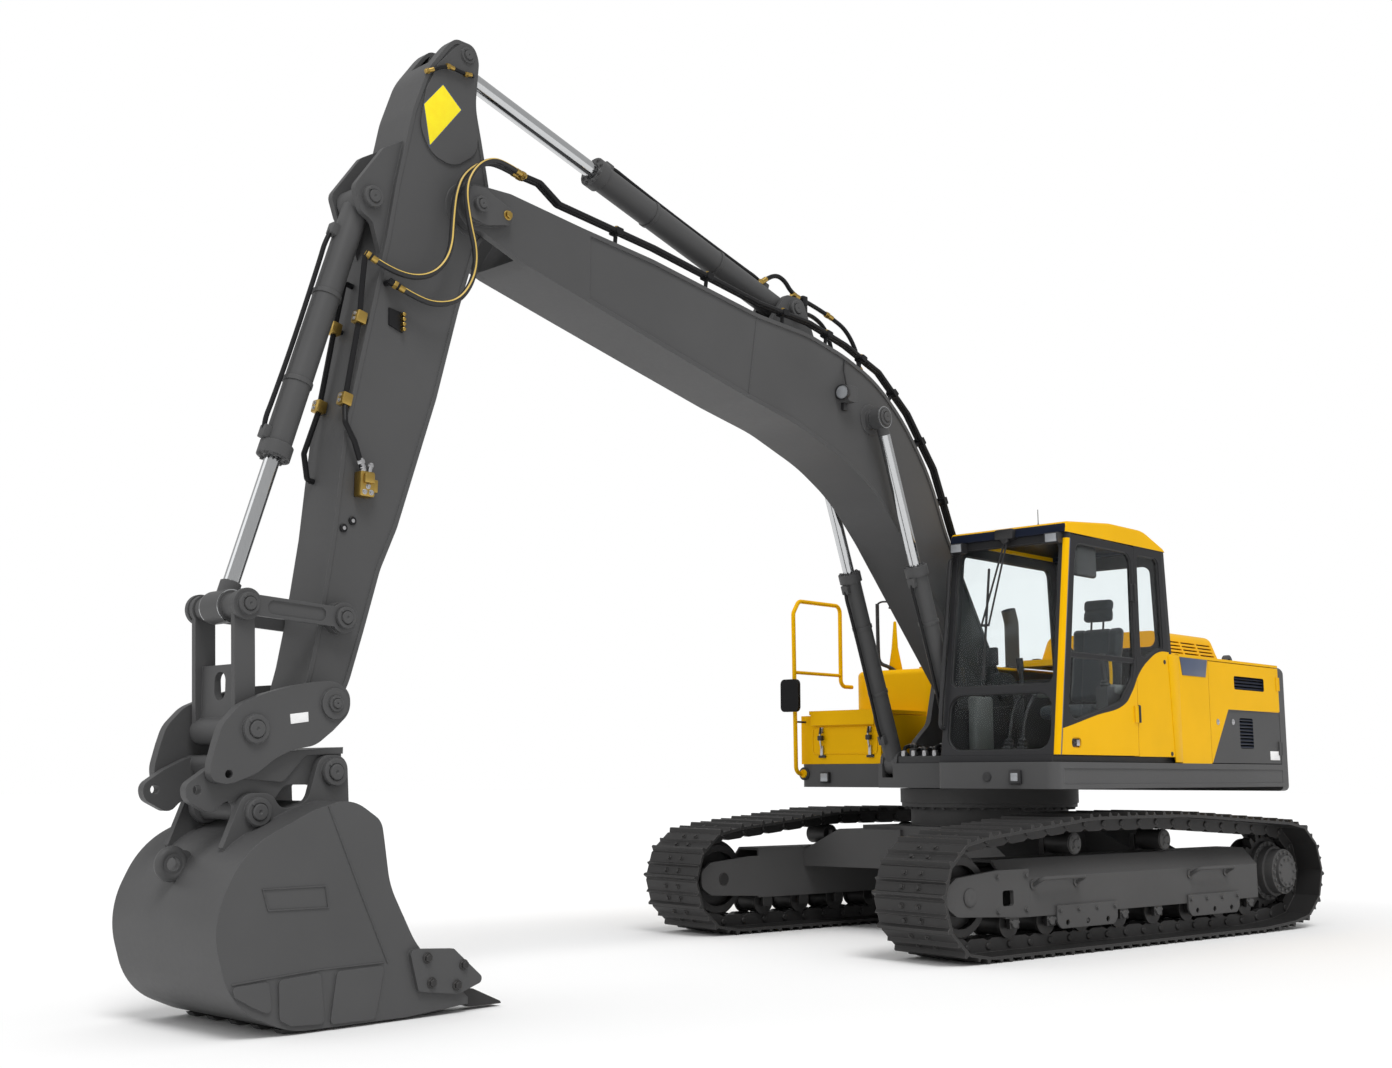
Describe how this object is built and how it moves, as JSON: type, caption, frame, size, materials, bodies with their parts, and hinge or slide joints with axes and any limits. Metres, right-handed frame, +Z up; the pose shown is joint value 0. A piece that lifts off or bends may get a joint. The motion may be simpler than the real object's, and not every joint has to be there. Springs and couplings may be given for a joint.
{
  "type": "crawler excavator",
  "caption": "Tracked hydraulic excavator with swinging upper structure, hollow cab, boom, arm, quick coupler and toothed bucket on hydraulic cylinders.",
  "frame": {"origin": "on the ground plane under the swing axis", "axes": "+X forward along the boom, +Y to the cab side, +Z up; the undercarriage rests turned 7.2 degrees clockwise from above"},
  "size_m": [9.7627, 3.5243, 5.282],
  "materials": {
    "black_plastic": "matte",
    "chrome_rod": "polished",
    "clear_glass": "clear",
    "engine_iron": "matte",
    "grey_paint": "satin",
    "hose_rubber": "matte",
    "pipe_black": "satin",
    "seat_cloth": "woven",
    "track_steel": "worn",
    "yellow_paint": "satin"
  },
  "bodies": {
    "undercarriage": {"carbody": "grey_paint", "track_frame_left": "grey_paint", "track_frame_right": "grey_paint", "track_left": "track_steel", "track_right": "track_steel", "idlers": "track_steel", "sprockets": "track_steel", "final_drives": "grey_paint", "track_rollers": "track_steel", "carrier_rollers": "track_steel", "track_steps": "grey_paint", "slew_ring": "track_steel"},
    "upper": {"deck": "grey_paint", "counterweight": "grey_paint", "engine_block": "engine_iron", "left_panel": "yellow_paint", "right_panel": "yellow_paint", "fuel_tank": "yellow_paint", "toolbox": "yellow_paint", "handrail": "yellow_paint", "exhaust": "engine_iron", "cab_floor": "grey_paint", "cab_front": "grey_paint", "cab_right": "grey_paint", "cab_rear": "grey_paint", "cab_left": "yellow_paint", "cab_roof": "grey_paint", "cab_glass": "clear_glass", "seat": "seat_cloth", "controls": "black_plastic", "wiper": "black_plastic", "work_lamps": "black_plastic", "cab_rear_glass": "clear_glass"},
    "cab_door": {"cab_door": "yellow_paint", "door_glass": "clear_glass"},
    "engine_hood": {"engine_hood": "yellow_paint"},
    "radiator_door": {"radiator_door": "yellow_paint"},
    "pump_door": {"pump_door": "yellow_paint"},
    "toolbox_lid": {"toolbox_lid": "yellow_paint"},
    "boom": {"boom": "grey_paint", "boom_pipes": "pipe_black", "hose_inner": "hose_rubber", "hose_outer": "hose_rubber"},
    "boom_barrels": {"boom_cylinder_barrels": "grey_paint"},
    "boom_rods": {"boom_cylinder_rods": "chrome_rod"},
    "arm_barrel": {"arm_cylinder_barrel": "grey_paint"},
    "arm_rod": {"arm_cylinder_rod": "chrome_rod"},
    "arm": {"arm": "grey_paint", "arm_pipes": "pipe_black"},
    "bucket_barrel": {"bucket_cylinder_barrel": "grey_paint"},
    "bucket_rod": {"bucket_cylinder_rod": "chrome_rod"},
    "guide_links": {"guide_links": "grey_paint"},
    "bucket": {"coupler": "grey_paint", "bucket": "grey_paint", "bucket_teeth": "track_steel"},
    "bucket_link": {"bucket_link": "grey_paint"}
  },
  "joints": [
    {"name": "swing", "type": "hinge", "parent": "undercarriage", "child": "upper", "pos_m": [0, 0, 1.07], "axis": [0, 0, 1], "continuous": true},
    {"name": "boom_lift", "type": "hinge", "parent": "upper", "child": "boom", "pos_m": [0.2, 0, 1.8], "axis": [0, -1, 0], "range_deg": [-68, 35]},
    {"name": "boom_barrel_tilt", "type": "hinge", "parent": "upper", "child": "boom_barrels", "pos_m": [0.8, 0, 1.25], "axis": [0, -1, 0], "range_deg": [-68.61, 35.31]},
    {"name": "boom_rod_slide", "type": "slide", "parent": "boom_barrels", "child": "boom_rods", "axis": [0.3546, 0, 0.935], "range_m": [-0.83078, 0.42761]},
    {"name": "arm_crowd", "type": "hinge", "parent": "boom", "child": "arm", "pos_m": [5.33, 0, 4.292], "axis": [0, -1, 0], "range_deg": [-41.5, 69], "deforming": ["hose_inner", "hose_outer"]},
    {"name": "arm_barrel_tilt", "type": "hinge", "parent": "boom", "child": "arm_barrel", "pos_m": [2.45, 0, 4.35], "axis": [0, -1, 0], "range_deg": [-1.42, 0.85]},
    {"name": "arm_rod_slide", "type": "slide", "parent": "arm_barrel", "child": "arm_rod", "axis": [0.9608, 0, 0.2773], "range_m": [-0.96342, 0.57945]},
    {"name": "bucket_curl", "type": "hinge", "parent": "arm", "child": "bucket", "pos_m": [6.18, 0, 1.51], "axis": [0, -1, 0], "range_deg": [-101, 74]},
    {"name": "guide_link_tilt", "type": "hinge", "parent": "arm", "child": "guide_links", "pos_m": [6.096, 0, 1.941], "axis": [0, -1, 0], "range_deg": [-62.62, 45.88]},
    {"name": "bucket_link_tilt", "type": "hinge", "parent": "bucket", "child": "bucket_link", "pos_m": [6.609, 0, 1.378], "axis": [0, -1, 0], "range_deg": [-41.44, 56.56]},
    {"name": "bucket_barrel_tilt", "type": "hinge", "parent": "arm", "child": "bucket_barrel", "pos_m": [5.95, 0, 4.2], "axis": [0, -1, 0], "range_deg": [-3.96, 2.9]},
    {"name": "bucket_rod_slide", "type": "slide", "parent": "bucket_barrel", "child": "bucket_rod", "axis": [0.2956, 0, -0.9553], "range_m": [-0.41936, 0.57238]},
    {"name": "cab_door_swing", "type": "hinge", "parent": "upper", "child": "cab_door", "pos_m": [0.088, 1.352, 1.3], "axis": [0, 0, 1], "range_deg": [0, 95]},
    {"name": "radiator_door_swing", "type": "hinge", "parent": "upper", "child": "radiator_door", "pos_m": [-2.318, 1.352, 1.3], "axis": [0, 0, 1], "range_deg": [0, 110]},
    {"name": "pump_door_swing", "type": "hinge", "parent": "upper", "child": "pump_door", "pos_m": [-2.318, -1.352, 1.3], "axis": [0, 0, -1], "range_deg": [0, 110]},
    {"name": "engine_hood_lift", "type": "hinge", "parent": "upper", "child": "engine_hood", "pos_m": [-2.25, 0, 2.085], "axis": [0, -1, 0], "range_deg": [0, 70]},
    {"name": "toolbox_lid_lift", "type": "hinge", "parent": "upper", "child": "toolbox_lid", "pos_m": [0.022, -0.9, 1.668], "axis": [0, -1, 0], "range_deg": [0, 80]}
  ],
  "couplings": [
    {"joint": "boom_barrel_tilt", "follows": "boom_lift", "ratio": 1.0089},
    {"joint": "boom_rod_slide", "follows": "boom_lift", "m_per_rad": 0.7},
    {"joint": "arm_barrel_tilt", "follows": "arm_crowd", "ratio": -0.0206},
    {"joint": "arm_rod_slide", "follows": "arm_crowd", "m_per_rad": -0.8},
    {"joint": "guide_link_tilt", "follows": "bucket_curl", "ratio": 0.62},
    {"joint": "bucket_link_tilt", "follows": "bucket_curl", "ratio": -0.56},
    {"joint": "bucket_barrel_tilt", "follows": "bucket_curl", "ratio": 0.0392},
    {"joint": "bucket_rod_slide", "follows": "bucket_curl", "m_per_rad": -0.3247}
  ]
}
